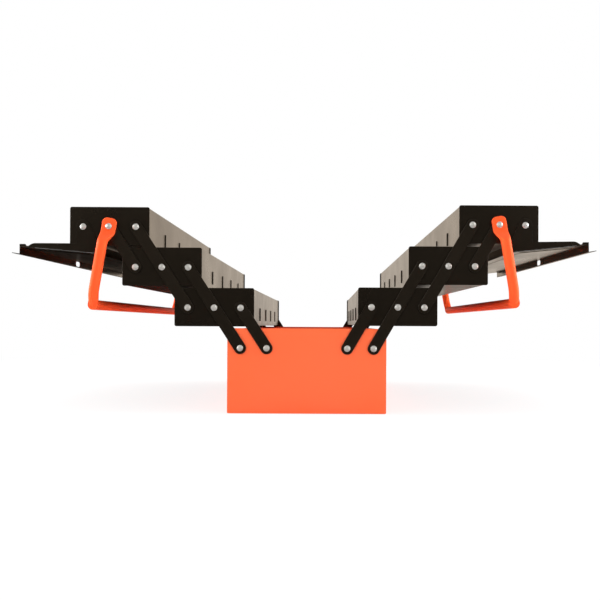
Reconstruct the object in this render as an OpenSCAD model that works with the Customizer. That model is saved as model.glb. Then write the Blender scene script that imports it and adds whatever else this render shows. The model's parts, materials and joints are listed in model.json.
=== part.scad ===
// Cantilever tool box: a base with three trays on each side, carried by parallel arms,
// a folding lid over each top tray and a tube handle on each side. It is drawn wide open.
// Origin: centre of the underside. X is the width, Y the length and Z is up.

/* [Box] */
// Length over the end plates
box_l = 530; // [400:5:620]
// Width of the base
base_w = 200; // [180:2:240]
// Height of the base
base_h = 107; // [90:1:150]
// Sheet thickness of the base
base_sheet = 1; // [0.8:0.1:1.5]
// Corner radius of the base's end plates
base_corner_r = 1.5; // [0.5:0.5:4]

/* [Trays] */
// Height of a tray's end plate
tray_h = 48.4; // [40:0.2:60]
// Gap between the left and the right trays when the box is shut
centre_gap = 1.2; // [0.8:0.2:3]
// How far a shut tray stands out past the base's side
tray_overhang = 0.6; // [0:0.2:1.4]
// Sheet thickness of the trays and lids
tray_sheet = 0.8; // [0.6:0.1:1]
// Thickness of the tray's end plates
end_t = 1; // [0.8:0.1:1.4]
// Corner radius of the tray's end plates
tray_corner_r = 2.5; // [1:0.5:4]
// How far the end plates stand proud of the long walls
plate_proud = 1.5; // [1:0.1:2.5]
// How far the end plates stand proud of the rims and the tray floors
rim_drop = 1; // [0.6:0.1:2]
// Height of the folded hem along each rim
hem_h = 5; // [3:0.5:8]
// Height of the flange that joins the floor to an end plate
floor_flange_h = 9; // [6:0.5:12]
// Gap between a wall's end flange and the nearest rivet's closed end
flange_clear = 3; // [0.5:0.5:5]

/* [Divider slots] */
// Number of divider slots in each long wall
slot_count = 4; // [2:1:8]
// Height of a divider slot
slot_h = 17.5; // [10:0.5:18]
// Top of the divider slots, below the rim
slot_drop = 22.5; // [12:0.5:24]
// Width of the groove inside a divider slot
slot_w = 1.2; // [0.8:0.1:2]
// How far a slot's pressed back stands out of the wall
slot_out = 1.3; // [1:0.1:1.4]

/* [Linkage] */
// Distance between neighbouring pivots on a plate
pivot_pitch = 33.2; // [30:0.2:36]
// Depth of the pivots below the top of a plate
pivot_drop = 25; // [20:0.5:30]
// Vertical gap between two trays when the box is shut
stack_gap = 1.8; // [1.2:0.1:4]
// How far the left side stops short of the mirrored shut angle, in degrees
left_short = 0.5; // [0:0.1:4]
// How far the right side stops short of the mirrored shut angle, in degrees
right_short = 3.4; // [0:0.1:6]
// Width of an arm
arm_w = 15; // [12:0.5:18]
// Thickness of an arm
arm_t = 2; // [1.5:0.1:2.5]
// Gap between a plate and what turns on it
side_gap = 0.3; // [0.2:0.1:0.5]
// Radial clearance of a rivet in its hole
rivet_clearance = 0.05; // [0.03:0.01:0.08]
// Radius of a rivet's shank
rivet_r = 2.4; // [2:0.1:3]
// Radius of a rivet's head
head_r = 4; // [3.3:0.1:4.5]
// Height of a rivet's head
head_h = 1.9; // [1.5:0.1:2.5]
// Radius of the dimple in a rivet's head
dimple_r = 0.9; // [0.5:0.1:1.2]
// Depth of the dimple in a rivet's head
dimple_h = 0.4; // [0.2:0.1:0.6]
// Height of a rivet's closed end inside the plate
tail_h = 1.2; // [0.8:0.1:1.6]
// Radius of a rivet's closed end
tail_r = 3.2; // [3:0.1:3.6]

/* [Lids] */
// How far the skirt lies outside the pivot
skirt_out = 19.2; // [18.6:0.2:24]
// Height of the lid above the tray's rim, at the skirt
skirt_top = 9.4; // [7:0.2:14]
// Height of the lid above the tray's rim, at the riser
riser_base = 1.2; // [1.2:0.2:3]
// Height of the riser's wide part above the tray's rim
riser_gap = 0.6; // [0.4:0.1:2]
// Gap left under the tray when the open lid's skirt comes to rest there
stop_gap = 0.2; // [0.1:0.1:1]
// How far the end flanges reach down past the tray's rim
flange_lap = 4; // [2:0.5:6]
// Distance of the riser from the centre of the shut box
riser_centre = 5.2; // [5:0.2:8]
// Height of the riser's top above the tray's rim
riser_top = 10.2; // [8:0.2:14]
// Depth of the riser's foot below the tray's rim
riser_foot = 2.8; // [1:0.2:4]
// Width of the lip past the riser
lip_w = 10.4; // [6:0.2:10.4]
// Fall of the lip towards the centre, in degrees
lip_fall = 9; // [4:1:12]
// Length of the padlock slot
padlock_l = 20; // [12:1:40]
// Height of the padlock slot
padlock_h = 7.6; // [5:0.2:7.6]
// Place of the padlock slot along the box, from the middle towards the rear
padlock_y = -33; // [-120:1:120]
// How far the left lid is turned open, in degrees
left_lid_open = 180; // [170:1:180]
// How far the right lid is turned open, in degrees
right_lid_open = 179; // [170:1:180]
// Radius of the ear round the lid's rivet
ear_r = 8.7; // [6.5:0.1:9.5]
// Length of the slanted inner end of the end flange
flange_slant = 7.5; // [3:0.5:12]
// Gap between the end flange and the riser strip
flange_notch = 8; // [4:0.5:14]
// Border round the raised panel of the lid
panel_border = 14; // [10:1:25]
// Height of the raised panel
panel_h = 0.8; // [0.4:0.1:1.5]

/* [Handles] */
// Distance from the pivot to the middle of the grip
handle_reach = 100; // [92:1:112]
// Lean of the hanging handle away from the box, in degrees
handle_lean = 9.5; // [4:0.5:14]
// Radius of the handle's tube
tube_r = 6.35; // [5:0.05:7.5]
// Wall of the handle's tube
tube_wall = 1.5; // [1:0.1:2]
// Centre-line radius of the handle's bends
bend_r = 22; // [16:1:35]
// Width of the flattened end
paddle_w = 18.4; // [15:0.2:21]
// Top of the flattened end above the pivot
paddle_top = 10.7; // [9:0.1:14]
// Corner radius at the top of the flattened end
paddle_corner = 6; // [3:0.5:7]
// Where the flattened end starts to narrow, below the pivot
paddle_end = 6; // [4:0.5:10]
// Where the tube is fully round, below the pivot
tube_start = 22; // [18:0.5:26]
// How far the tube lies outwards of the flattened end's middle
tube_shift = 3; // [0:0.2:3.8]
// Gap between the plate and the round part of the tube
tube_gap = 4.2; // [3.9:0.1:6]

/* [Hidden] */

$fn = 48;
eps = 0.01; // overshoot of a cut past the face it opens
LEFT = -1;
RIGHT = 1;
FRONT = -1;
REAR = 1;
half_l = box_l / 2;

// Trays and pivots. A position across the box is measured outwards from its centre.
tray_w = base_w / 2 + tray_overhang - centre_gap / 2;
pivot_edge = (tray_w - 2 * pivot_pitch) / 2;
base_pivot = base_w / 2 + tray_overhang - pivot_edge;
base_pivot_z = base_h - pivot_drop;
rise_shut = tray_h + stack_gap;
arm_reach = sqrt(pow(pivot_pitch, 2) + pow(rise_shut, 2));
shut_angle = atan2(pivot_pitch, rise_shut);
left_angle = shut_angle - left_short;
right_angle = shut_angle - right_short;
hole_r = rivet_r + rivet_clearance;
arm_stack = side_gap + arm_t;

// Lid, measured from its pivot: outwards (negative towards the centre) and up, as it lies shut
riser_x = riser_centre - base_pivot;
skirt_u = pivot_drop + skirt_top;
riser_u = pivot_drop + riser_base;
flange_u = pivot_drop - flange_lap;
skirt_foot = tray_h - pivot_drop + stop_gap;
lid_fall = atan2(skirt_u - riser_u, skirt_out - riser_x);
lid_slope_l = norm([skirt_out - riser_x, skirt_u - riser_u]);
tab_gap = 0.1; // between the lid's sheet and the tabs and flanges under it
flange_out = skirt_out - tray_sheet - tab_gap;
flange_end_x = riser_x + flange_notch;
tab_side_gap = 0.6; // between a tab and the end flange
tab_chamfer = 1.2;
flank_sink = 0.3; // the end flange's flank starts this far inside the ear's round
tab_w = flange_notch - tab_side_gap;
foot_l = box_l - 2 * (end_t + tray_sheet + side_gap);
lid_half_l = half_l + side_gap + tray_sheet;

// Handle
paddle_gap = side_gap + arm_t + side_gap;
paddle_t = 2 * tube_wall;
tube_y = half_l + tube_gap + tube_r;

// Angle of the arms from the vertical on one side
function open_angle(s) = s == LEFT ? left_angle : right_angle;
function lid_open(s) = s == LEFT ? left_lid_open : right_lid_open;
// Outward place of tray k's inner pivot; k = 0 is the base
function inner_pivot(s, k) = base_pivot + (k - 2) * pivot_pitch + k * arm_reach * sin(open_angle(s));
function pivot_x(s, k, i) = k == 0
  ? base_pivot - (1 - i) * pivot_pitch
  : inner_pivot(s, k) + i * pivot_pitch;
function pivot_z(s, k) = base_pivot_z + k * arm_reach * cos(open_angle(s));
function lid_height(x) = riser_u + (x - riser_x) * tan(lid_fall);

// Draws on the right side, and mirrors for the left one
module on_side(s) {
  if (s == LEFT) mirror([1, 0, 0]) children();
  else children();
}

// Stands a flat outline up across the box and gives it a length along Y
module along_y(length) {
  rotate([90, 0, 0]) linear_extrude(length, center = true) children();
}

// An outline of thickness t at one end, starting off outside the face of the end plates
module at_end(e, off, t) {
  translate([0, e * (half_l + off + t / 2), 0]) along_y(t) children();
}

// A round hole or bar through an end, from one distance to another outside the end plates
module end_bore(e, x, z, r, from, to) {
  translate([x, e * (half_l + (from + to) / 2), z]) rotate([90, 0, 0])
    cylinder(h = to - from, r = r, center = true);
}

module rounded_rect(w, h, r) {
  union() {
    translate([r, 0]) square([w - 2 * r, h]);
    translate([0, r]) square([w, h - 2 * r]);
    for (x = [r, w - r], y = [r, h - r]) translate([x, y]) circle(r);
  }
}

// Folded sheet trough: floor, two long walls with hems, and flanges behind the end plates.
// w and h are the end plate's width and height, floor_up lifts the floor off its lower edge,
// and pivot_in is how far the outermost pivot lies in from its side.
module trough(w, h, t, plate_t, floor_up, pivot_in) {
  wall_x = plate_proud;
  flange_w = pivot_in - wall_x - tail_r - flange_clear;
  inner_l = box_l - 2 * plate_t;
  top = h - rim_drop;
  along_y(inner_l) {
    translate([wall_x, floor_up]) square([w - 2 * wall_x, t]);
    for (side = [0, 1]) translate([side * w, 0]) mirror([side, 0]) {
      translate([wall_x, floor_up]) square([t, top - floor_up]);
      translate([wall_x, top - hem_h]) square([2 * t, hem_h]);
    }
  }
  for (e = [FRONT, REAR]) at_end(e, -plate_t - t, t) {
    translate([wall_x, floor_up]) square([w - 2 * wall_x, floor_flange_h]);
    for (x = [wall_x, w - wall_x - flange_w])
      translate([x, floor_up]) square([flange_w, top - floor_up]);
  }
}

// The base's trough, centred on the box
module base_pan() {
  color("#f4633a") translate([-base_w / 2, 0, 0])
    trough(base_w, base_h, base_sheet, base_sheet, 0, base_w / 2 - base_pivot);
}

// One of the base's end plates with its four pivot holes
module base_end(e) {
  color("#f4633a") difference() {
    at_end(e, -base_sheet, base_sheet) translate([-base_w / 2, 0])
      rounded_rect(base_w, base_h, base_corner_r);
    for (s = [LEFT, RIGHT], i = [0, 1])
      end_bore(e, s * pivot_x(s, 0, i), base_pivot_z, hole_r, -base_sheet - eps, eps);
  }
}

// A rivet at one end. stack is the thickness of what it holds outside the plate.
module rivet(e, x, z, stack, plate_t) {
  dome_r = (head_r * head_r + head_h * head_h) / (2 * head_h);
  translate([x, e * half_l, z]) rotate([e * -90, 0, 0]) {
    translate([0, 0, -plate_t - tail_h]) {
      cylinder(h = stack + plate_t + tail_h + eps, r = rivet_r);
      cylinder(h = tail_h, r = tail_r);
    }
    difference() {
      intersection() {
        translate([0, 0, stack]) cylinder(h = head_h, r = head_r);
        translate([0, 0, stack + head_h - dome_r]) sphere(r = dome_r);
      }
      translate([0, 0, stack + head_h - dimple_h]) cylinder(h = dimple_h + eps, r = dimple_r);
    }
  }
}

module base_rivets() {
  color("silver") for (s = [LEFT, RIGHT], e = [FRONT, REAR], i = [0, 1])
    rivet(e, s * pivot_x(s, 0, i), base_pivot_z, arm_stack, base_sheet);
}

// Rivets of tray k, at the pivots in list
module tray_rivets(s, k, list) {
  color("silver") on_side(s) for (e = [FRONT, REAR], i = list)
    rivet(e, pivot_x(s, k, i), pivot_z(s, k), arm_stack, end_t);
}

// Moves an outline drawn from a tray's inner bottom corner to tray k
module at_tray(s, k) {
  on_side(s) translate([inner_pivot(s, k) - pivot_edge, 0, pivot_z(s, k) + pivot_drop - tray_h])
    children();
}

// A tray's trough, with pressed divider slots in both long walls
module tray(s, k) {
  slot_z = tray_h - rim_drop - slot_drop - slot_h;
  color("#2b2823") at_tray(s, k) difference() {
    union() {
      trough(tray_w, tray_h, tray_sheet, end_t, rim_drop, pivot_edge);
      divider_slots(slot_z, plate_proud - slot_out, tray_sheet + slot_out, slot_w + 2 * tray_sheet);
    }
    divider_slots(slot_z + tray_sheet, plate_proud - slot_out + tray_sheet,
                  slot_out + eps, slot_w, 2 * tray_sheet);
  }
}

// Blocks along both long walls, at equal steps along the length
module divider_slots(z, x, depth, width, less = 0) {
  step = box_l / (slot_count + 1);
  for (n = [1:slot_count], side = [0, 1])
    translate([side * tray_w, n * step - half_l, z]) mirror([side, 0, 0])
      translate([x, -width / 2, 0]) cube([depth, width, slot_h - less]);
}

// One of a tray's end plates with its three pivot holes
module tray_end(s, k, e) {
  color("#2b2823") difference() {
    at_tray(s, k) at_end(e, -end_t, end_t) rounded_rect(tray_w, tray_h, tray_corner_r);
    on_side(s) for (i = [0:2])
      end_bore(e, pivot_x(s, k, i), pivot_z(s, k), hole_r, -end_t - eps, eps);
  }
}

// A flat arm from pivot i of tray k, with a hole every arm_reach
module arm(s, e, k, i, holes) {
  length = (holes - 1) * arm_reach;
  color("#26231f") on_side(s)
    translate([pivot_x(s, k, i), 0, pivot_z(s, k)]) rotate([0, open_angle(s), 0]) difference() {
      at_end(e, side_gap, arm_t) union() {
        translate([-arm_w / 2, 0]) square([arm_w, length]);
        for (y = [0, length]) translate([0, y]) circle(arm_w / 2);
      }
      for (n = [0:holes - 1])
        end_bore(e, 0, n * arm_reach, hole_r, side_gap - eps, side_gap + arm_t + eps);
    }
}

// Puts a lid drawn shut round its pivot onto the top tray, and turns it open
module at_lid(s) {
  on_side(s) translate([pivot_x(s, 3, 2), 0, pivot_z(s, 3)]) rotate([0, lid_open(s), 0]) children();
}

// Outline of the lid's end flange: an ear round the rivet that flares out to the skirt
module flange_shape() {
  flare = atan2(flange_u, flange_out) - acos(ear_r / norm([flange_out, flange_u]));
  under = tray_sheet + tab_gap;
  difference() {
    union() {
      circle(ear_r);
      polygon([
        (ear_r - flank_sink) * [cos(flare), sin(flare)],
        [flange_out, flange_u],
        [flange_out, lid_height(flange_out) - under],
        [flange_end_x, lid_height(flange_end_x) - under],
        [flange_end_x + flange_slant, flange_u],
        [-ear_r, flange_u],
        [-ear_r, 0]
      ]);
    }
    circle(hole_r);
  }
}

// End flange, under the lid's sheet and outside the tray's end plate
module lid_flange(s, e) {
  color("#2b2823") at_lid(s) at_end(e, side_gap, tray_sheet) flange_shape();
}

// The lid's sheet with its raised panel, and the skirt that rests under the tray when it is open
module lid_panel(s) {
  panel_w = lid_slope_l - 2 * panel_border;
  panel_l = 2 * lid_half_l - 2 * panel_border;
  color("#2b2823") at_lid(s) difference() {
    union() {
      along_y(2 * lid_half_l) {
        polygon([
          [riser_x, riser_u], [skirt_out, skirt_u],
          [skirt_out, skirt_u - tray_sheet], [riser_x, riser_u - tray_sheet]
        ]);
        translate([skirt_out - tray_sheet, skirt_foot])
          square([tray_sheet, skirt_u - tray_sheet - skirt_foot]);
      }
      on_slope() raised_block(panel_w, panel_l, panel_h + tray_sheet / 2, -tray_sheet / 2);
    }
    on_slope() raised_block(panel_w - 2 * tray_sheet, panel_l - 2 * tray_sheet,
                            panel_h + eps, -tray_sheet - eps);
  }
}

// Frame on the lid's sloping sheet: x along the slope from the riser, z out of its top face
module on_slope() {
  translate([riser_x, 0, riser_u]) rotate([0, -lid_fall, 0]) children();
}

module raised_block(w, l, h, z) {
  translate([(lid_slope_l - w) / 2, -l / 2, z]) cube([w, l, h]);
}

// Closing strip along the lid's inner edge: a riser with a padlock slot, a lip and two end tabs
module lid_strip(s) {
  top_u = pivot_drop + riser_top;
  foot_u = pivot_drop - riser_foot;
  sill_u = pivot_drop + riser_gap;
  color("#24211d") at_lid(s) difference() {
    union() {
      along_y(2 * lid_half_l) {
        translate([riser_x - tray_sheet, sill_u]) square([tray_sheet, top_u - sill_u]);
        translate([riser_x, top_u]) rotate(lip_fall)
          translate([-lip_w, -tray_sheet]) square([lip_w, tray_sheet]);
      }
      along_y(foot_l) translate([riser_x - tray_sheet, foot_u])
        square([tray_sheet, sill_u - foot_u]);
      for (e = [FRONT, REAR]) at_end(e, side_gap, tray_sheet) riser_tab(foot_u, sill_u);
    }
    translate([riser_x - tray_sheet / 2, padlock_y, (riser_u + top_u - tray_sheet) / 2]) padlock_slot();
  }
}

// End tab of the riser strip, outside the tray's end plate and under the lid's sheet
module riser_tab(foot_u, sill_u) {
  tab_top = riser_u - tray_sheet - tab_gap;
  translate([riser_x - tray_sheet, foot_u]) square([tray_sheet, sill_u - foot_u]);
  polygon([
    [riser_x - tray_sheet, foot_u], [riser_x + tab_w - tab_chamfer, foot_u],
    [riser_x + tab_w, foot_u + tab_chamfer], [riser_x + tab_w, tab_top],
    [riser_x - tray_sheet, tab_top]
  ]);
}

module padlock_slot() {
  rotate([0, 90, 0]) linear_extrude(4 * tray_sheet, center = true) union() {
    square([padlock_h, padlock_l - padlock_h], center = true);
    for (y = [-1, 1]) translate([0, y * (padlock_l - padlock_h) / 2]) circle(padlock_h / 2);
  }
}

module lid_rivets(s) {
  color("silver") on_side(s) for (e = [FRONT, REAR])
    rivet(e, pivot_x(s, 3, 2), pivot_z(s, 3), side_gap + tray_sheet, end_t);
}

// Rivets that hold the handle and the outer short arm on the top tray
module handle_rivets(s) {
  color("silver") on_side(s) for (e = [FRONT, REAR])
    rivet(e, pivot_x(s, 3, 1), pivot_z(s, 3), paddle_gap + paddle_t, end_t);
}

// One tube, bent to a U and flattened at both ends
module handle(s) {
  color("#f2562f") on_side(s)
    translate([pivot_x(s, 3, 1), 0, pivot_z(s, 3)]) rotate([0, -handle_lean, 0]) difference() {
      union() {
        handle_tube(tube_r);
        for (e = [FRONT, REAR]) {
          paddle(e);
          paddle_taper(e);
        }
      }
      handle_tube(tube_r - tube_wall);
      for (e = [FRONT, REAR])
        end_bore(e, 0, 0, hole_r, paddle_gap - eps, paddle_gap + paddle_t + eps);
    }
}

// Flattened end of the handle, with its two top corners rounded
module paddle(e) {
  r = paddle_corner;
  at_end(e, paddle_gap, paddle_t) union() {
    translate([-paddle_w / 2, -paddle_end]) square([paddle_w, paddle_top + paddle_end - r]);
    translate([r - paddle_w / 2, 0]) square([paddle_w - 2 * r, paddle_top]);
    for (x = [r - paddle_w / 2, paddle_w / 2 - r]) translate([x, paddle_top - r]) circle(r);
  }
}

// Where the handle's end widens from the round tube to the flattened width
module paddle_taper(e) {
  hull() {
    at_end(e, paddle_gap, paddle_t) translate([-paddle_w / 2, -paddle_end - eps]) square([paddle_w, eps]);
    translate([tube_shift, e * tube_y, -tube_start]) cylinder(h = eps, r = tube_r, $fn = 32);
  }
}

// The round part of the tube: two legs, two bends and the grip
module handle_tube(r) {
  grip = tube_y - bend_r;
  translate([tube_shift, 0, -handle_reach]) {
    rotate([90, 0, 0]) cylinder(h = 2 * grip, r = r, center = true);
    for (e = [FRONT, REAR]) translate([0, e * grip, bend_r]) {
      translate([0, e * bend_r, 0]) cylinder(h = handle_reach - bend_r - tube_start, r = r);
      rotate([0, 90, 0]) rotate([0, 0, e == REAR ? 0 : -90])
        rotate_extrude(angle = 90) translate([bend_r, 0]) circle(r);
    }
  }
}

base_pan();
base_end(FRONT);  // base_front_end
base_end(REAR);  // base_rear_end
base_rivets();

tray(LEFT, 1);  // left_lower_tray
tray_end(LEFT, 1, FRONT);  // left_lower_tray_front_end
tray_end(LEFT, 1, REAR);  // left_lower_tray_rear_end
tray_rivets(LEFT, 1, [0, 1, 2]);  // left_lower_tray_rivets
tray(LEFT, 2);  // left_middle_tray
tray_end(LEFT, 2, FRONT);  // left_middle_tray_front_end
tray_end(LEFT, 2, REAR);  // left_middle_tray_rear_end
tray_rivets(LEFT, 2, [0, 1, 2]);  // left_middle_tray_rivets
tray(LEFT, 3);  // left_upper_tray
tray_end(LEFT, 3, FRONT);  // left_upper_tray_front_end
tray_end(LEFT, 3, REAR);  // left_upper_tray_rear_end
tray_rivets(LEFT, 3, [0]);  // left_upper_tray_rivets
arm(LEFT, FRONT, 0, 0, 2);  // left_inner_short_arm_front
arm(LEFT, REAR, 0, 0, 2);  // left_inner_short_arm_rear
arm(LEFT, FRONT, 0, 1, 3);  // left_base_long_arm_front
arm(LEFT, REAR, 0, 1, 3);  // left_base_long_arm_rear
arm(LEFT, FRONT, 1, 2, 3);  // left_tray_long_arm_front
arm(LEFT, REAR, 1, 2, 3);  // left_tray_long_arm_rear
arm(LEFT, FRONT, 2, 2, 2);  // left_outer_short_arm_front
arm(LEFT, REAR, 2, 2, 2);  // left_outer_short_arm_rear
lid_panel(LEFT);  // left_lid_panel
lid_flange(LEFT, FRONT);  // left_lid_front_flange
lid_flange(LEFT, REAR);  // left_lid_rear_flange
lid_strip(LEFT);  // left_lid_strip
lid_rivets(LEFT);  // left_lid_rivets
handle(LEFT);  // left_handle
handle_rivets(LEFT);  // left_handle_rivets

tray(RIGHT, 1);  // right_lower_tray
tray_end(RIGHT, 1, FRONT);  // right_lower_tray_front_end
tray_end(RIGHT, 1, REAR);  // right_lower_tray_rear_end
tray_rivets(RIGHT, 1, [0, 1, 2]);  // right_lower_tray_rivets
tray(RIGHT, 2);  // right_middle_tray
tray_end(RIGHT, 2, FRONT);  // right_middle_tray_front_end
tray_end(RIGHT, 2, REAR);  // right_middle_tray_rear_end
tray_rivets(RIGHT, 2, [0, 1, 2]);  // right_middle_tray_rivets
tray(RIGHT, 3);  // right_upper_tray
tray_end(RIGHT, 3, FRONT);  // right_upper_tray_front_end
tray_end(RIGHT, 3, REAR);  // right_upper_tray_rear_end
tray_rivets(RIGHT, 3, [0]);  // right_upper_tray_rivets
arm(RIGHT, FRONT, 0, 0, 2);  // right_inner_short_arm_front
arm(RIGHT, REAR, 0, 0, 2);  // right_inner_short_arm_rear
arm(RIGHT, FRONT, 0, 1, 3);  // right_base_long_arm_front
arm(RIGHT, REAR, 0, 1, 3);  // right_base_long_arm_rear
arm(RIGHT, FRONT, 1, 2, 3);  // right_tray_long_arm_front
arm(RIGHT, REAR, 1, 2, 3);  // right_tray_long_arm_rear
arm(RIGHT, FRONT, 2, 2, 2);  // right_outer_short_arm_front
arm(RIGHT, REAR, 2, 2, 2);  // right_outer_short_arm_rear
lid_panel(RIGHT);  // right_lid_panel
lid_flange(RIGHT, FRONT);  // right_lid_front_flange
lid_flange(RIGHT, REAR);  // right_lid_rear_flange
lid_strip(RIGHT);  // right_lid_strip
lid_rivets(RIGHT);  // right_lid_rivets
handle(RIGHT);  // right_handle
handle_rivets(RIGHT);  // right_handle_rivets
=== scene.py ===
import json
import math

import bmesh
import bpy
from mathutils import Matrix, Vector


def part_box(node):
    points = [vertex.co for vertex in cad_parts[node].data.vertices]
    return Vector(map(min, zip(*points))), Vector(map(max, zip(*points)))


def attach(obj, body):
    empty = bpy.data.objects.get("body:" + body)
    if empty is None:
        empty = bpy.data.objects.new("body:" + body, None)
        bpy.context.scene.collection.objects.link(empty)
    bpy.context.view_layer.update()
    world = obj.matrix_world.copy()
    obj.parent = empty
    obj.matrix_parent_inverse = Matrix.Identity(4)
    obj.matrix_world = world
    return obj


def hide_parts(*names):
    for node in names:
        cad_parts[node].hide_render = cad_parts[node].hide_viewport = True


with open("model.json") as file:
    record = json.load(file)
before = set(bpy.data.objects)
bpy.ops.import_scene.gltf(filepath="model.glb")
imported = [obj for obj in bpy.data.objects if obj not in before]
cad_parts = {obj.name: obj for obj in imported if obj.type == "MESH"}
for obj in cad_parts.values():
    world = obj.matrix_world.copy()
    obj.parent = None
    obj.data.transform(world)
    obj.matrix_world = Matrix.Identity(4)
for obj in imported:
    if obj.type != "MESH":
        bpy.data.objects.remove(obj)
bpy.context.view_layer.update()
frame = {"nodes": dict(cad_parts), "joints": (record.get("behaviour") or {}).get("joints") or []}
mm = 0.001
sides = {"left": -1, "right": 1}
ends = {"front": -1, "rear": 1}
joints = {joint["name"]: joint for joint in frame["joints"]}

# camera: place and view in mm, degrees and pixels of a 600 px frame
cameraSpec = {
    "place": (23.5, -1261.4, 113.0),
    "yaw": 0.15,
    "pitch": 0.28,
    "roll": 0.31,
    "focal": 793.0,
    "centre": (327.8, 320.0),
    "size": 600.0,
    "sensor": 36.0,
    "clip": (0.05, 60.0),
}
# linear colours
colours = {
    "base": (0.95, 0.128, 0.031),
    "handle": (0.93, 0.102, 0.026),
    "black": (0.0150, 0.0112, 0.0074),
    "baseWorn": (0.95, 0.30, 0.14),
    "handleWorn": (0.95, 0.26, 0.12),
    "blackWorn": (0.055, 0.048, 0.04),
    "dust": (0.35, 0.32, 0.28),
    "zinc": (0.72, 0.70, 0.65),
}
# how meshes are cleaned and rounded; angles in degrees
meshSpec = {
    "smoothAngle": 32,
    "edgeAngle": 35,
    "flatAngle": 0.6,
    "planeAngle": 0.573,
    "weld": 0.002 * mm,
    "softEdge": 0.2 * mm,
    "holeSegments": 24,
}


def pivot(jointName):
    return Vector(joints[jointName]["pos_m"])


def finishMesh(bm):
    mesh = bpy.data.meshes.new("mesh")
    bmesh.ops.recalc_face_normals(bm, faces=bm.faces)
    bm.to_mesh(mesh)
    bm.free()
    mesh.polygons.foreach_set("use_smooth", [True] * len(mesh.polygons))
    mesh.set_sharp_from_angle(angle=math.radians(meshSpec["smoothAngle"]))
    return mesh


def camel(name):
    words = name.split("_")
    return words[0] + "".join(word.capitalize() for word in words[1:])


def addPiece(nodeName, bm, material, body, ending=""):
    piece = bpy.data.objects.new(camel(nodeName) + ending, finishMesh(bm))
    bpy.context.scene.collection.objects.link(piece)
    piece.data.materials.append(material)
    even = piece.modifiers.new("evenNormals", "WEIGHTED_NORMAL")
    even.keep_sharp = True
    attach(piece, body)
    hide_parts(nodeName)


def roundEdges(bm, radius, segments=2, minAngle=meshSpec["edgeAngle"]):
    limit = math.radians(minAngle)
    found = [e for e in bm.edges if len(e.link_faces) == 2 and e.calc_face_angle(0) > limit]
    bmesh.ops.bevel(
        bm, geom=found, offset=radius, offset_type="OFFSET", affect="EDGES",
        segments=segments, profile=0.5, material=-1, clamp_overlap=True,
    )


# the CAD node's own shape with its edges rounded
def softPiece(nodeName, material, body):
    bm = bmesh.new()
    bm.from_mesh(frame["nodes"][nodeName].data)
    bmesh.ops.remove_doubles(bm, verts=bm.verts, dist=meshSpec["weld"])
    flat = math.radians(meshSpec["flatAngle"])
    bmesh.ops.dissolve_limit(bm, angle_limit=flat, verts=bm.verts, edges=bm.edges)
    roundEdges(bm, meshSpec["softEdge"])
    addPiece(nodeName, bm, material, body)


# fills the flat loops in bm, holes left open, and gives them a thickness along +Z
def plateFromLoops(bm, thickness):
    bmesh.ops.triangle_fill(bm, use_beauty=True, edges=bm.edges[:], normal=(0, 0, 1))
    flat = math.radians(meshSpec["planeAngle"])
    bmesh.ops.dissolve_limit(bm, angle_limit=flat, verts=bm.verts, edges=bm.edges)
    grown = bmesh.ops.extrude_face_region(bm, geom=bm.faces[:])
    moved = [v for v in grown["geom"] if isinstance(v, bmesh.types.BMVert)]
    bmesh.ops.translate(bm, verts=moved, vec=(0, 0, thickness))


def addHole(bm, centre, radius):
    made = bmesh.ops.create_circle(bm, segments=meshSpec["holeSegments"], radius=radius)
    bmesh.ops.translate(bm, verts=made["verts"], vec=(centre[0], centre[1], 0))


# turns a flat part drawn in XY, with its thickness along +Z, to stand in the XZ plane
def standUp(bm, x, yFrom, z):
    turn = Matrix(((1, 0, 0, x), (0, 0, 1, yFrom), (0, 1, 0, z), (0, 0, 0, 1)))
    bmesh.ops.transform(bm, matrix=turn, verts=bm.verts)


def makeCamera(spec):
    yaw, pitch, roll = (math.radians(spec[key]) for key in ("yaw", "pitch", "roll"))
    level = Vector((math.cos(yaw), -math.sin(yaw), 0))
    forward = Vector((
        math.sin(yaw) * math.cos(pitch), math.cos(yaw) * math.cos(pitch), math.sin(pitch)
    ))
    above = level.cross(forward)
    right = level * math.cos(roll) + above * math.sin(roll)
    up = above * math.cos(roll) - level * math.sin(roll)
    data = bpy.data.cameras.new("camera")
    camera = bpy.data.objects.new("camera", data)
    bpy.context.scene.collection.objects.link(camera)
    turn = Matrix((right, up, -forward)).transposed().to_4x4()
    camera.matrix_world = Matrix.Translation(Vector(spec["place"]) * mm) @ turn
    data.sensor_width = spec["sensor"]
    data.lens = spec["focal"] / spec["size"] * spec["sensor"]
    data.shift_x = (spec["size"] / 2 - spec["centre"][0]) / spec["size"]
    data.shift_y = (spec["centre"][1] - spec["size"] / 2) / spec["size"]
    data.clip_start, data.clip_end = spec["clip"]
    bpy.context.scene.camera = camera


roomSpec = {
    "ambient": 0.8,       # what the world adds to matt surfaces
    "glossDark": 0.06,    # what gloss shows in front of the box
    "glossPale": 1.0,     # and behind it
    "glossTurn": (0.1, 0.75),    # the Y of the world's direction where it turns from dark to pale
    "glossTint": (1.0, 0.935, 0.845, 1.0),
    # how bright gloss sees the floor: place from, to, in m, then brightness there
    "floorAcross": (0.05, 0.7, 0.02, 1.0),
    "floorAlong": (-0.45, 0.35, 0.06, 1.0),
    "floorColour": 0.86,
    "floorGlow": 0.72,    # share of the floor near the box that is plain white to the camera
    "floorFade": (0.35, 1.5),    # where the rest of it turns plain white, in m from the middle
    "floorSize": 30.0,
}


def wire(tree, source, target):
    tree.links.new(source, target)


def node(tree, kind, **values):
    made = tree.nodes.new("ShaderNode" + kind)
    for key, value in values.items():
        if key in made.inputs.keys():
            made.inputs[key].default_value = value
        else:
            setattr(made, key, value)
    return made


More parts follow.
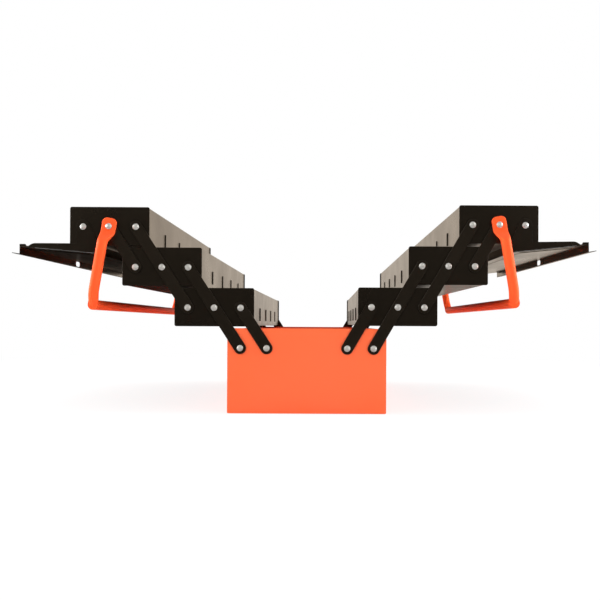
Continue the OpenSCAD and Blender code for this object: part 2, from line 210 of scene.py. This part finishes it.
def mapRange(tree, source, low, high, first, last):
    made = node(tree, "MapRange")
    for key, value in (("From Min", low), ("From Max", high), ("To Min", first), ("To Max", last)):
        made.inputs[key].default_value = value
    wire(tree, source, made.inputs["Value"])
    return made.outputs["Result"]


def makeWorld(spec):
    world = bpy.data.worlds.new("room")
    bpy.context.scene.world = world
    world.use_nodes = True
    tree = world.node_tree
    tree.nodes.clear()
    path = node(tree, "LightPath")
    coords = node(tree, "TexCoord")
    split = node(tree, "SeparateXYZ")
    wire(tree, coords.outputs["Generated"], split.inputs[0])
    # gloss sees the world pale behind the box and dark in front of it
    behind = mapRange(
        tree, split.outputs["Y"], *spec["glossTurn"], spec["glossDark"], spec["glossPale"]
    )
    gloss = node(tree, "Background")
    wire(tree, behind, gloss.inputs["Strength"])
    matt = node(tree, "Background", Strength=spec["ambient"])
    plain = node(tree, "Background", Strength=1.0)
    for shader in (matt, plain):
        shader.inputs["Color"].default_value = (1, 1, 1, 1)
    gloss.inputs["Color"].default_value = spec["glossTint"]
    byGloss = node(tree, "MixShader")
    wire(tree, path.outputs["Is Glossy Ray"], byGloss.inputs[0])
    wire(tree, matt.outputs[0], byGloss.inputs[1])
    wire(tree, gloss.outputs[0], byGloss.inputs[2])
    byCamera = node(tree, "MixShader")
    wire(tree, path.outputs["Is Camera Ray"], byCamera.inputs[0])
    wire(tree, byGloss.outputs[0], byCamera.inputs[1])
    wire(tree, plain.outputs[0], byCamera.inputs[2])
    out = node(tree, "OutputWorld")
    wire(tree, byCamera.outputs[0], out.inputs[0])


def makeFloor(spec):
    bm = bmesh.new()
    bmesh.ops.create_grid(bm, x_segments=2, y_segments=2, size=spec["floorSize"])
    mesh = bpy.data.meshes.new("floor")
    bm.to_mesh(mesh)
    bm.free()
    floor = bpy.data.objects.new("floor", mesh)
    bpy.context.scene.collection.objects.link(floor)
    material = bpy.data.materials.new("paleFloor")
    material.use_nodes = True
    tree = material.node_tree
    tree.nodes.clear()
    path = node(tree, "LightPath")
    coords = node(tree, "TexCoord")
    split = node(tree, "SeparateXYZ")
    wire(tree, coords.outputs["Object"], split.inputs[0])
    matt = node(tree, "BsdfDiffuse")
    matt.inputs["Color"].default_value = [spec["floorColour"]] * 3 + [1]
    glow = node(tree, "Emission", Strength=1.0)
    # gloss sees the floor pale behind on the right, and dim in front and on the left
    side = mapRange(tree, split.outputs["X"], *spec["floorAcross"])
    back = mapRange(tree, split.outputs["Y"], *spec["floorAlong"])
    both = node(tree, "Math", operation="MULTIPLY")
    wire(tree, side, both.inputs[0])
    wire(tree, back, both.inputs[1])
    mirrored = node(tree, "Emission")
    mirrored.inputs["Color"].default_value = spec["glossTint"]
    wire(tree, both.outputs[0], mirrored.inputs["Strength"])
    distance = node(tree, "VectorMath", operation="LENGTH")
    wire(tree, coords.outputs["Object"], distance.inputs[0])
    glowing = mapRange(tree, distance.outputs["Value"], *spec["floorFade"], spec["floorGlow"], 1.0)
    share = node(tree, "Math", operation="MULTIPLY")
    wire(tree, glowing, share.inputs[1])
    wire(tree, path.outputs["Is Camera Ray"], share.inputs[0])
    shown = node(tree, "MixShader")
    wire(tree, share.outputs[0], shown.inputs[0])
    wire(tree, matt.outputs[0], shown.inputs[1])
    wire(tree, glow.outputs[0], shown.inputs[2])
    last = node(tree, "MixShader")
    wire(tree, path.outputs["Is Glossy Ray"], last.inputs[0])
    wire(tree, shown.outputs[0], last.inputs[1])
    wire(tree, mirrored.outputs[0], last.inputs[2])
    out = node(tree, "OutputMaterial")
    wire(tree, last.outputs[0], out.inputs[0])
    mesh.materials.append(material)


# places in m, power in watts
lamps = {
    "frontLeft": {"place": (-1.5, -1.9, 1.3), "size": 0.9, "watts": 8},
    "frontRight": {"place": (1.6, -1.9, 1.2), "size": 0.9, "watts": 8},
    "top": {"place": (0.2, 0.1, 2.2), "size": 1.8, "watts": 8},
    "sideLeft": {"place": (-1.8, -0.1, 0.6), "size": 0.8, "watts": 42},
    "sideRight": {"place": (1.8, -0.1, 0.6), "size": 0.8, "watts": 42},
}
lampAim = Vector((0, -0.05, 0.12))


def makeLamps(specs):
    for name, spec in specs.items():
        data = bpy.data.lights.new(name, "AREA")
        data.size = spec["size"]
        data.energy = spec["watts"]
        lamp = bpy.data.objects.new(name, data)
        lamp.location = spec["place"]
        aim = lampAim - lamp.location
        lamp.rotation_euler = aim.to_track_quat("-Z", "Y").to_euler()
        bpy.context.scene.collection.objects.link(lamp)


def newGroup(name, inputs, outputs):
    tree = bpy.data.node_groups.new(name, "ShaderNodeTree")
    for label, kind, value in inputs:
        made = tree.interface.new_socket(label, in_out="INPUT", socket_type="NodeSocket" + kind)
        if value is not None:
            made.default_value = value
    for label, kind in outputs:
        tree.interface.new_socket(label, in_out="OUTPUT", socket_type="NodeSocket" + kind)
    return tree, tree.nodes.new("NodeGroupInput"), tree.nodes.new("NodeGroupOutput")


grainSpec = {
    "smoothness": 0.7, "fineScale": 2.3, "fineDetail": 3.0, "patchScale": 14.0, "patchDetail": 4.0,
}


# fine pebbled texture of baked paint, and slow patches for colour and gloss
def grainGroup(spec):
    tree, start, end = newGroup(
        "paintGrain",
        [("Vector", "Vector", None), ("Scale", "Float", 900.0), ("Roundness", "Float", 0.5)],
        [("Height", "Float"), ("Patch", "Float")],
    )
    pebble = node(tree, "TexVoronoi", feature="SMOOTH_F1")
    pebble.inputs["Smoothness"].default_value = spec["smoothness"]
    fine = node(tree, "TexNoise", Detail=spec["fineDetail"])
    patch = node(tree, "TexNoise", Scale=spec["patchScale"], Detail=spec["patchDetail"])
    for texture in (pebble, fine, patch):
        wire(tree, start.outputs["Vector"], texture.inputs["Vector"])
    wire(tree, start.outputs["Scale"], pebble.inputs["Scale"])
    finer = node(tree, "Math", operation="MULTIPLY")
    finer.inputs[1].default_value = spec["fineScale"]
    wire(tree, start.outputs["Scale"], finer.inputs[0])
    wire(tree, finer.outputs[0], fine.inputs["Scale"])
    blend = node(tree, "Mix", data_type="FLOAT")
    wire(tree, start.outputs["Roundness"], blend.inputs[0])
    wire(tree, fine.outputs["Fac"], blend.inputs[2])
    wire(tree, pebble.outputs["Distance"], blend.inputs[3])
    wire(tree, blend.outputs[0], end.inputs["Height"])
    wire(tree, patch.outputs["Fac"], end.inputs["Patch"])
    return tree


# edge: how far the rounded normal leaves the true one, as a cosine, where wear starts and is full
wearSpec = {
    "radius": 0.7 * mm, "edge": (0.985, 0.86), "noiseScale": 160.0, "noiseDetail": 5.0,
    "broken": (0.42, 0.62, 0.25, 1.0),
}


# paint rubbed thin along edges, broken up by noise
def wearGroup(spec):
    tree, start, end = newGroup(
        "edgeWear",
        [("Vector", "Vector", None), ("Amount", "Float", 0.5)],
        [("Mask", "Float")],
    )
    soft = node(tree, "Bevel", samples=4)
    soft.inputs["Radius"].default_value = spec["radius"]
    surface = node(tree, "NewGeometry")
    dot = node(tree, "VectorMath", operation="DOT_PRODUCT")
    wire(tree, soft.outputs["Normal"], dot.inputs[0])
    wire(tree, surface.outputs["Normal"], dot.inputs[1])
    edge = mapRange(tree, dot.outputs["Value"], *spec["edge"], 0.0, 1.0)
    noise = node(tree, "TexNoise", Scale=spec["noiseScale"], Detail=spec["noiseDetail"])
    wire(tree, start.outputs["Vector"], noise.inputs["Vector"])
    broken = mapRange(tree, noise.outputs["Fac"], *spec["broken"])
    both = node(tree, "Math", operation="MULTIPLY")
    wire(tree, edge, both.inputs[0])
    wire(tree, broken, both.inputs[1])
    scaled = node(tree, "Math", operation="MULTIPLY")
    wire(tree, both.outputs[0], scaled.inputs[0])
    wire(tree, start.outputs["Amount"], scaled.inputs[1])
    wire(tree, scaled.outputs[0], end.inputs["Mask"])
    return tree


dustSpec = {"facing": (0.3, 0.95), "noiseScale": 40.0, "noiseDetail": 6.0}


# a thin settled film on what faces up
def dustGroup(spec):
    tree, start, end = newGroup(
        "settledDust",
        [("Vector", "Vector", None), ("Amount", "Float", 0.1)],
        [("Mask", "Float")],
    )
    surface = node(tree, "NewGeometry")
    split = node(tree, "SeparateXYZ")
    wire(tree, surface.outputs["Normal"], split.inputs[0])
    up = mapRange(tree, split.outputs["Z"], *spec["facing"], 0.0, 1.0)
    noise = node(tree, "TexNoise", Scale=spec["noiseScale"], Detail=spec["noiseDetail"])
    wire(tree, start.outputs["Vector"], noise.inputs["Vector"])
    both = node(tree, "Math", operation="MULTIPLY")
    wire(tree, up, both.inputs[0])
    wire(tree, noise.outputs["Fac"], both.inputs[1])
    scaled = node(tree, "Math", operation="MULTIPLY")
    wire(tree, both.outputs[0], scaled.inputs[0])
    wire(tree, start.outputs["Amount"], scaled.inputs[1])
    wire(tree, scaled.outputs[0], end.inputs["Mask"])
    return tree


effects = {
    "grain": grainGroup(grainSpec), "wear": wearGroup(wearSpec), "dust": dustGroup(dustSpec),
}


def placeGroup(tree, effect, vector, **values):
    made = tree.nodes.new("ShaderNodeGroup")
    made.node_tree = effects[effect]
    wire(tree, vector, made.inputs["Vector"])
    for key, value in values.items():
        made.inputs[key].default_value = value
    return made


def mixColour(tree, share, first, second):
    made = node(tree, "Mix", data_type="RGBA")
    wire(tree, share, made.inputs[0])
    for socket, colour in ((made.inputs[6], first), (made.inputs[7], second)):
        if isinstance(colour, tuple):
            socket.default_value = (*colour, 1)
        else:
            wire(tree, colour, socket)
    return made.outputs[2]


def shade(colour, factor):
    return tuple(min(channel * factor, 1.0) for channel in colour)


# the band of the noise that changes the gloss, and by how much it changes the roughness
patchSpec = {"band": (0.3, 0.7), "roughness": (-0.04, 0.05)}


def paint(name, colour, worn, spec):
    material = bpy.data.materials.new(name)
    material.use_nodes = True
    tree = material.node_tree
    shader = tree.nodes["Principled BSDF"]
    coords = node(tree, "TexCoord").outputs["Object"]
    grain = placeGroup(tree, "grain", coords, Scale=spec["grainScale"], Roundness=spec["pebble"])
    wear = placeGroup(tree, "wear", coords, Amount=spec["wear"])
    dust = placeGroup(tree, "dust", coords, Amount=spec["dust"])
    dark, light = shade(colour, 1 - spec["drift"]), shade(colour, 1 + spec["drift"])
    body = mixColour(tree, grain.outputs["Patch"], dark, light)
    rubbed = mixColour(tree, wear.outputs["Mask"], body, worn)
    settled = mixColour(tree, dust.outputs["Mask"], rubbed, colours["dust"])
    wire(tree, settled, shader.inputs["Base Color"])
    smooth, rough = (spec["roughness"] + change for change in patchSpec["roughness"])
    gloss = mapRange(tree, grain.outputs["Patch"], *patchSpec["band"], smooth, rough)
    wire(tree, gloss, shader.inputs["Roughness"])
    bump = node(tree, "Bump", Strength=spec["bump"], Distance=spec["bumpDepth"] * mm)
    wire(tree, grain.outputs["Height"], bump.inputs["Height"])
    wire(tree, bump.outputs["Normal"], shader.inputs["Normal"])
    plain = {"IOR": "ior", "Metallic": "metal", "Coat Weight": "coat", "Coat Roughness": "coatRough"}
    for socket, key in plain.items():
        shader.inputs[socket].default_value = spec[key]
    shader.inputs["Specular Tint"].default_value = (*spec["tint"], 1)
    return material


zincSpec = {
    "grainScale": 1500.0, "pebble": 0.2, "shade": 0.86, "metal": 0.55, "roughness": (0.36, 0.5),
    "bump": 0.25, "bumpDepth": 0.02,
}


def rivetMetal(spec):
    material = bpy.data.materials.new("zincPlate")
    material.use_nodes = True
    tree = material.node_tree
    shader = tree.nodes["Principled BSDF"]
    coords = node(tree, "TexCoord").outputs["Object"]
    grain = placeGroup(tree, "grain", coords, Scale=spec["grainScale"], Roundness=spec["pebble"])
    height = grain.outputs["Height"]
    colour = mixColour(tree, height, shade(colours["zinc"], spec["shade"]), colours["zinc"])
    wire(tree, colour, shader.inputs["Base Color"])
    shader.inputs["Metallic"].default_value = spec["metal"]
    rough = mapRange(tree, height, *patchSpec["band"], *spec["roughness"])
    wire(tree, rough, shader.inputs["Roughness"])
    bump = node(tree, "Bump", Strength=spec["bump"], Distance=spec["bumpDepth"] * mm)
    wire(tree, grain.outputs["Height"], bump.inputs["Height"])
    wire(tree, bump.outputs["Normal"], shader.inputs["Normal"])
    return material


blackSpec = {
    "grainScale": 1300.0, "pebble": 0.6, "wear": 0.55, "dust": 0.10, "drift": 0.12,
    "roughness": 0.30, "bump": 0.35, "bumpDepth": 0.08, "ior": 1.5, "tint": (1.0, 0.78, 0.56),
    "metal": 0.45, "coat": 0.25, "coatRough": 0.2,
}
orangeSpec = {
    "grainScale": 420.0, "pebble": 0.25, "wear": 0.3, "dust": 0.05, "drift": 0.02,
    "roughness": 0.34, "bump": 0.22, "bumpDepth": 0.05, "ior": 1.5, "tint": (1.0, 1.0, 1.0),
    "metal": 0.0, "coat": 0.0, "coatRough": 0.2,
}
handlePaintSpec = {
    **orangeSpec, "roughness": 0.55, "bump": 0.1, "metal": 0.08, "grainScale": 300.0, "ior": 1.22,
    "tint": (1.0, 0.5, 0.35),
}
armPaintSpec = {**blackSpec, "roughness": 0.36}
armShade = 1.15

print("materials")
blackPaint = paint("blackPaint", colours["black"], colours["blackWorn"], blackSpec)
armBlack = shade(colours["black"], armShade)
armPaint = paint("armPaint", armBlack, colours["blackWorn"], armPaintSpec)
basePaint = paint("orangePaint", colours["base"], colours["baseWorn"], orangeSpec)
handlePaint = paint("handleEnamel", colours["handle"], colours["handleWorn"], handlePaintSpec)
zinc = rivetMetal(zincSpec)
print("room")
makeCamera(cameraSpec)
makeWorld(roomSpec)
makeFloor(roomSpec)
makeLamps(lamps)


# end plates, arms and rivets
plateSpec = {
    "baseCorner": 1.5 * mm, "trayCorner": 2.5 * mm, "cornerSegments": 6, "hole": 2.45 * mm,
    "edge": 0.32 * mm, "edgeSegments": 3,
}


def endPlate(nodeName, corner, holes, material, body):
    low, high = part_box(nodeName)
    bm = bmesh.new()
    bmesh.ops.create_grid(bm, x_segments=1, y_segments=1, size=0.5)
    bmesh.ops.scale(bm, vec=(high.x - low.x, high.z - low.z, 1), verts=bm.verts)
    bmesh.ops.translate(bm, vec=((low.x + high.x) / 2, (low.z + high.z) / 2, 0), verts=bm.verts)
    bmesh.ops.bevel(
        bm, geom=bm.verts[:], offset=corner, offset_type="OFFSET", affect="VERTICES",
        segments=plateSpec["cornerSegments"], profile=0.5, material=-1,
    )
    bmesh.ops.delete(bm, geom=bm.faces[:], context="FACES_ONLY")
    for x, z in holes:
        addHole(bm, (x, z), plateSpec["hole"])
    plateFromLoops(bm, high.y - low.y)
    standUp(bm, 0, low.y, 0)
    roundEdges(bm, plateSpec["edge"], plateSpec["edgeSegments"])
    addPiece(nodeName, bm, material, body)


armSpec = {
    "width": 15 * mm, "segments": 44, "hole": 2.45 * mm, "edge": 0.45 * mm, "edgeSegments": 3,
}


def arm(nodeName, points, body):
    low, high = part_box(nodeName)
    first, last = points[0], points[-1]
    along = (last - first).normalized()
    length = (last - first).length
    bm = bmesh.new()
    outline = bmesh.ops.create_circle(bm, segments=armSpec["segments"], radius=armSpec["width"] / 2)
    halfStep = Matrix.Rotation(math.pi / armSpec["segments"], 3, "Z")
    bmesh.ops.rotate(bm, verts=outline["verts"], matrix=halfStep, cent=(0, 0, 0))
    upper = [v for v in outline["verts"] if v.co.y > 0]
    bmesh.ops.translate(bm, verts=upper, vec=(0, length, 0))
    for point in points:
        addHole(bm, (0, (point - first).length), armSpec["hole"])
    plateFromLoops(bm, high.y - low.y)
    roundEdges(bm, armSpec["edge"], armSpec["edgeSegments"])
    across = along.cross(Vector((0, 1, 0)))
    place = Matrix((across, along, (0, 1, 0))).transposed().to_4x4()
    place.translation = (first.x, low.y, first.z)
    bmesh.ops.transform(bm, matrix=place, verts=bm.verts)
    addPiece(nodeName, bm, armPaint, body)


rivetSpec = {
    "shank": 2.4 * mm, "head": 4.0 * mm, "rise": 1.9 * mm, "dimple": 0.85 * mm, "sink": 0.42 * mm,
    "tail": 3.2 * mm, "tailHeight": 1.2 * mm, "segments": 28, "weld": 0.005 * mm,
    "plate": 1 * mm, "plateFace": 265 * mm,    # thickness and outer face of the end plates
    # shares of a radius
    "dimpleFlat": 0.75, "headFoot": 0.98, "tailRoot": 0.96, "tailFlat": 0.88,
    "domeSteps": (0.3, 0.42, 0.55, 0.68, 0.8, 0.9, 0.965),
    # heights of small rounded steps, the first as a share of the dimple's depth
    "dimpleLip": 0.3, "headRim": 0.1 * mm, "tailRim": 0.15 * mm, "tailRound": 0.35 * mm,
}


# half section turned round +Z, which points out of the end plate; z = 0 is the plate's face
def rivetShape(stack):
    s = rivetSpec
    dome = (s["head"] ** 2 + s["rise"] ** 2) / (2 * s["rise"])
    top = stack + s["rise"]
    section = [
        (0, top - s["sink"]),
        (s["dimple"] * s["dimpleFlat"], top - s["sink"]),
        (s["dimple"], top - s["sink"] * s["dimpleLip"]),
    ]
    for share in s["domeSteps"]:
        r = s["head"] * share
        section.append((r, top - dome + math.sqrt(dome ** 2 - r ** 2)))
    tailTop = -s["plate"]
    tailEnd = tailTop - s["tailHeight"]
    section += [
        (s["head"], stack + s["headRim"]),
        (s["head"] * s["headFoot"], stack),
        (s["shank"], stack),
        (s["shank"], tailTop),
        (s["tail"] * s["tailRoot"], tailTop),
        (s["tail"], tailTop - s["tailRim"]),
        (s["tail"], tailEnd + s["tailRound"]),
        (s["tail"] * s["tailFlat"], tailEnd),
        (0, tailEnd),
    ]
    bm = bmesh.new()
    verts = [bm.verts.new((r, 0, z)) for r, z in section]
    edges = [bm.edges.new(pair) for pair in zip(verts, verts[1:])]
    bmesh.ops.spin(
        bm, geom=verts + edges, axis=(0, 0, 1), cent=(0, 0, 0), angle=math.tau,
        steps=s["segments"], use_merge=True,
    )
    bmesh.ops.remove_doubles(bm, verts=bm.verts, dist=s["weld"])
    bmesh.ops.recalc_face_normals(bm, faces=bm.faces)
    mesh = bpy.data.meshes.new("rivetShape")
    bm.to_mesh(mesh)
    bm.free()
    return mesh


def rivets(nodeName, points, stack, body):
    shape = rivetShape(stack)
    bm = bmesh.new()
    for direction in ends.values():
        for point in points:
            known = set(bm.verts)
            bm.from_mesh(shape)
            fresh = [v for v in bm.verts if v not in known]
            turn = Matrix.Rotation(-direction * math.pi / 2, 4, "X")
            turn.translation = (point.x, direction * rivetSpec["plateFace"], point.z)
            bmesh.ops.transform(bm, matrix=turn, verts=fresh)
    addPiece(nodeName, bm, zinc, body)


# in mm from the lid's pivot, as the lid lies shut; angles in degrees
lidSpec = {
    "skirtOut": 19.2, "skirtTop": 34.4, "skirtFoot": 23.6, "riserIn": -78.6, "riserFoot": 26.2,
    "sheet": 0.8, "halfLength": 266.1, "border": 14.0, "raise": 0.8, "flank": 1.8, "fold": 0.28,
    "foldSegments": 3, "foldAngle": 12, "ear": 8.7, "flangeLow": 21.0, "notch": 8.0, "slant": 7.5,
    "slantRound": 3.0, "roundSegments": 8, "hole": 2.45, "under": 0.9, "edge": 0.22,
    "open": {"left": 180.0, "right": 179.0},
}
almost = 0.999    # keeps two rounded corners of one edge from meeting


def lidPlace(side):
    turn = Matrix.Rotation(math.radians(lidSpec["open"][side]), 4, "Y")
    return Matrix.Translation(pivot(side + "_lid")) @ Matrix.Scale(sides[side], 4, (1, 0, 0)) @ turn


def addLidPiece(side, part, bm):
    bmesh.ops.transform(bm, matrix=lidPlace(side), verts=bm.verts)
    addPiece(side + "_lid_" + part, bm, blackPaint, side + "_lid")


def lidFlange(side, end):
    spec = lidSpec
    ear, low, out = spec["ear"], spec["flangeLow"], spec["skirtOut"] - spec["under"]
    touch = math.atan2(low, out) - math.acos(ear / math.hypot(out, low))
    tx, ty = ear * math.cos(touch), ear * math.sin(touch)
    kneeX = tx + (tx - out) / (ty - low) * (-ear - ty)
    slope = (spec["skirtTop"] - spec["riserFoot"]) / (spec["skirtOut"] - spec["riserIn"])
    inner = spec["riserIn"] + spec["notch"]
    tops = [spec["riserFoot"] + (x - spec["riserIn"]) * slope - spec["under"] for x in (out, inner)]
    bm = bmesh.new()
    outline = [
        (-ear, -ear), (kneeX, -ear), (out, low), (out, tops[0]), (inner, tops[1]),
        (inner + spec["slant"], low), (-ear, low),
    ]
    verts = [bm.verts.new((x * mm, z * mm, 0)) for x, z in outline]
    bm.faces.new(verts)
    rounds = (verts[0], ear * almost), (verts[1], kneeX * almost), (verts[5], spec["slantRound"])
    for corner, radius in rounds:
        bmesh.ops.bevel(
            bm, geom=[corner], offset=radius * mm, offset_type="OFFSET", affect="VERTICES",
            segments=spec["roundSegments"], profile=0.5, material=-1,
        )
    bmesh.ops.delete(bm, geom=bm.faces[:], context="FACES_ONLY")
    addHole(bm, (0, 0), spec["hole"] * mm)
    plateFromLoops(bm, spec["sheet"] * mm)
    outer = spec["halfLength"] * mm
    standUp(bm, 0, -outer if ends[end] < 0 else outer - spec["sheet"] * mm, 0)
    roundEdges(bm, spec["edge"] * mm)
    addLidPiece(side, end + "_flange", bm)


def lidPanel(side):
    spec = lidSpec
    across = spec["skirtOut"] - spec["riserIn"]
    rise = spec["skirtTop"] - spec["riserFoot"]
    bm = bmesh.new()
    bmesh.ops.create_grid(bm, x_segments=1, y_segments=1, size=0.5)
    bmesh.ops.scale(
        bm, vec=(math.hypot(across, rise) * mm, 2 * spec["halfLength"] * mm, 1), verts=bm.verts
    )
    tilt = Matrix.Rotation(-math.atan2(rise, across), 4, "Y")
    middleX = (spec["skirtOut"] + spec["riserIn"]) / 2
    middleZ = (spec["skirtTop"] + spec["riserFoot"]) / 2
    tilt.translation = (middleX * mm, 0, middleZ * mm)
    bmesh.ops.transform(bm, matrix=tilt, verts=bm.verts)
    top = bm.faces[:]
    bmesh.ops.inset_region(
        bm, faces=top, thickness=spec["border"] * mm, use_even_offset=True, use_boundary=True
    )
    bmesh.ops.inset_region(
        bm, faces=top, thickness=spec["flank"] * mm, depth=spec["raise"] * mm, use_even_offset=True
    )
    rim = [e for e in bm.edges if all(abs(v.co.x - spec["skirtOut"] * mm) < 1e-6 for v in e.verts)]
    skirt = bmesh.ops.extrude_edge_only(bm, edges=rim)
    moved = [v for v in skirt["geom"] if isinstance(v, bmesh.types.BMVert)]
    bmesh.ops.translate(bm, verts=moved, vec=(0, 0, (spec["skirtFoot"] - spec["skirtTop"]) * mm))
    bmesh.ops.recalc_face_normals(bm, faces=bm.faces)
    bm.normal_update()
    if sum(f.normal.z * f.calc_area() for f in bm.faces) < 0:
        bmesh.ops.reverse_faces(bm, faces=bm.faces)
        bm.normal_update()
    bmesh.ops.solidify(bm, geom=bm.faces[:], thickness=spec["sheet"] * mm)
    roundEdges(bm, spec["fold"] * mm, spec["foldSegments"], spec["foldAngle"])
    addLidPiece(side, "panel", bm)


# in mm from the handle's pivot; angles in degrees
handleSpec = {
    "reach": 100.0, "lean": 9.5, "tube": 6.35, "tubeY": 275.55, "bend": 22.0, "shift": 3.0,
    "paddleWidth": 18.4, "paddleThick": 3.0, "paddleY": 269.1, "paddleTop": 10.7, "paddleEnd": -6.0,
    "tubeStart": -22.0, "corner": 6.0, "segments": 28, "bendSteps": 10, "gripSteps": 8,
    "gather": 0.9,    # how far the tube's rounds are drawn into the edges of the pressed end
    "topSteps": (0.0, 0.35, 1.2, 2.4, 4.0, 6.0),    # rings below the top of the pressed end
    "neckSteps": (0.0, -3.0, -6.0, -8.0, -10.0, -12.0, -14.0, -16.0, -18.0, -20.0, -22.0),
}


def smoothStep(low, high, value):
    t = min(max((value - low) / (high - low), 0.0), 1.0)
    return t * t * (3 - 2 * t)


# where a point of the plain tube goes when the tube's end is pressed flat
def pressFlat(point, spec):
    x, y, z = (c / mm for c in point)
    end = -1 if y < 0 else 1
    flat = smoothStep(spec["tubeStart"], spec["paddleEnd"], z)
    c, s = (x - spec["shift"]) / spec["tube"], (abs(y) - spec["tubeY"]) / spec["tube"]
    width = spec["paddleWidth"] / 2
    below = spec["paddleTop"] - spec["corner"]
    if z > below:
        width += math.sqrt(max(spec["corner"] ** 2 - (z - below) ** 2, 0)) - spec["corner"]
    half = spec["tube"] + (width - spec["tube"]) * flat
    thick = spec["tube"] + (spec["paddleThick"] / 2 - spec["tube"]) * flat
    s = min(max(s * (1 + spec["gather"] * flat), -1.0), 1.0)
    middle = spec["tubeY"] + (spec["paddleY"] - spec["tubeY"]) * flat
    x = spec["shift"] * (1 - flat) + c * half
    return Vector((x * mm, end * (middle + s * thick) * mm, z * mm))


def extrudeRing(bm, ring, offset):
    grown = bmesh.ops.extrude_edge_only(bm, edges=ring)["geom"]
    verts = [v for v in grown if isinstance(v, bmesh.types.BMVert)]
    bmesh.ops.translate(bm, verts=verts, vec=offset)
    return [e for e in grown if isinstance(e, bmesh.types.BMEdge) and set(e.verts) <= set(verts)]


def spinRing(bm, ring, centre, steps):
    verts = list({v for e in ring for v in e.verts})
    turned = bmesh.ops.spin(
        bm, geom=verts + ring, axis=(1, 0, 0), cent=centre, angle=math.pi / 2, steps=steps
    )
    return [e for e in turned["geom_last"] if isinstance(e, bmesh.types.BMEdge)]


def handle(side):
    spec = handleSpec
    top, low = spec["paddleTop"], spec["bend"] - spec["reach"]
    levels = [top - step for step in spec["topSteps"]] + [*spec["neckSteps"], low]
    bm = bmesh.new()
    circle = bmesh.ops.create_circle(bm, segments=spec["segments"], radius=spec["tube"] * mm)
    start = Vector((spec["shift"], -spec["tubeY"], top)) * mm
    bmesh.ops.translate(bm, verts=circle["verts"], vec=start)
    ring = bm.edges[:]
    for above, below in zip(levels, levels[1:]):
        ring = extrudeRing(bm, ring, (0, 0, (below - above) * mm))
    grip = spec["tubeY"] - spec["bend"]
    ring = spinRing(bm, ring, (0, -grip * mm, low * mm), spec["bendSteps"])
    for _ in range(spec["gripSteps"]):
        ring = extrudeRing(bm, ring, (0, 2 * grip / spec["gripSteps"] * mm, 0))
    ring = spinRing(bm, ring, (0, grip * mm, low * mm), spec["bendSteps"])
    for below, above in zip(levels[::-1], levels[-2::-1]):
        ring = extrudeRing(bm, ring, (0, 0, (above - below) * mm))
    for v in bm.verts:
        v.co = pressFlat(v.co, spec)
    bmesh.ops.holes_fill(bm, edges=[e for e in bm.edges if e.is_boundary])
    nodeName = side + "_handle"
    lean = Matrix.Rotation(-math.radians(spec["lean"]), 4, "Y")
    mirror = Matrix.Scale(sides[side], 4, (1, 0, 0))
    place = Matrix.Translation(pivot(nodeName)) @ mirror @ lean
    bmesh.ops.transform(bm, matrix=place, verts=bm.verts)
    addPiece(nodeName, bm, handlePaint, nodeName, "Tube")


# pivots of the base and of the three trays, from the centre outwards
def pivots(side):
    lowerMiddle, lowerOuter = pivot(side + "_lower_tray_level"), pivot(side + "_tray_long_arm_swing")
    middleInner, middleOuter = pivot(side + "_middle_tray_level"), pivot(side + "_outer_short_arm_swing")
    return {
        "base": [pivot(side + "_inner_short_arm_swing"), pivot(side + "_fold")],
        "lower": [lowerMiddle * 2 - lowerOuter, lowerMiddle, lowerOuter],
        "middle": [middleInner, (middleInner + middleOuter) / 2, middleOuter],
        "upper": [pivot(side + "_upper_tray_level"), pivot(side + "_handle"), pivot(side + "_lid")],
    }


def flatPoints(points):
    return [(p.x, p.z) for p in points]


# what each kind of rivet holds against the plate, thickness and gaps together
stacks = {"arm": 2.3 * mm, "lid": 1.1 * mm, "handle": 5.6 * mm}
places = {side: pivots(side) for side in sides}

print("base")
basePivots = places["left"]["base"] + places["right"]["base"]
softPiece("base_pan", basePaint, "base")
for end in ends:
    endPlate("base_" + end + "_end", plateSpec["baseCorner"], flatPoints(basePivots), basePaint,
             "base")
rivets("base_rivets", basePivots, stacks["arm"], "base")

for side in sides:
    print(side, "trays")
    at = places[side]
    for tier in ("lower", "middle", "upper"):
        tray = side + "_" + tier + "_tray"
        softPiece(tray, blackPaint, tray)
        for end in ends:
            endPlate(tray + "_" + end + "_end", plateSpec["trayCorner"], flatPoints(at[tier]),
                     blackPaint, tray)
        # the upper tray's other two rivets carry the handle and the lid, and come below
        held = at[tier] if tier != "upper" else at[tier][:1]
        rivets(tray + "_rivets", held, stacks["arm"], tray)
    print(side, "arms")
    bars = {
        "inner_short_arm": [at["base"][0], at["lower"][0]],
        "base_long_arm": [at["base"][1], at["lower"][1], at["middle"][0]],
        "tray_long_arm": [at["lower"][2], at["middle"][1], at["upper"][0]],
        "outer_short_arm": [at["middle"][2], at["upper"][1]],
    }
    for bar, points in bars.items():
        for end in ends:
            arm(side + "_" + bar + "_" + end, points, side + "_" + bar + "s")
    print(side, "lid and handle")
    lidPanel(side)
    for end in ends:
        lidFlange(side, end)
    softPiece(side + "_lid_strip", blackPaint, side + "_lid")
    rivets(side + "_lid_rivets", at["upper"][2:], stacks["lid"], side + "_lid_pins")
    handle(side)
    rivets(side + "_handle_rivets", at["upper"][1:2], stacks["handle"], side + "_handle_pins")

bpy.context.scene.view_settings.view_transform = "Standard"
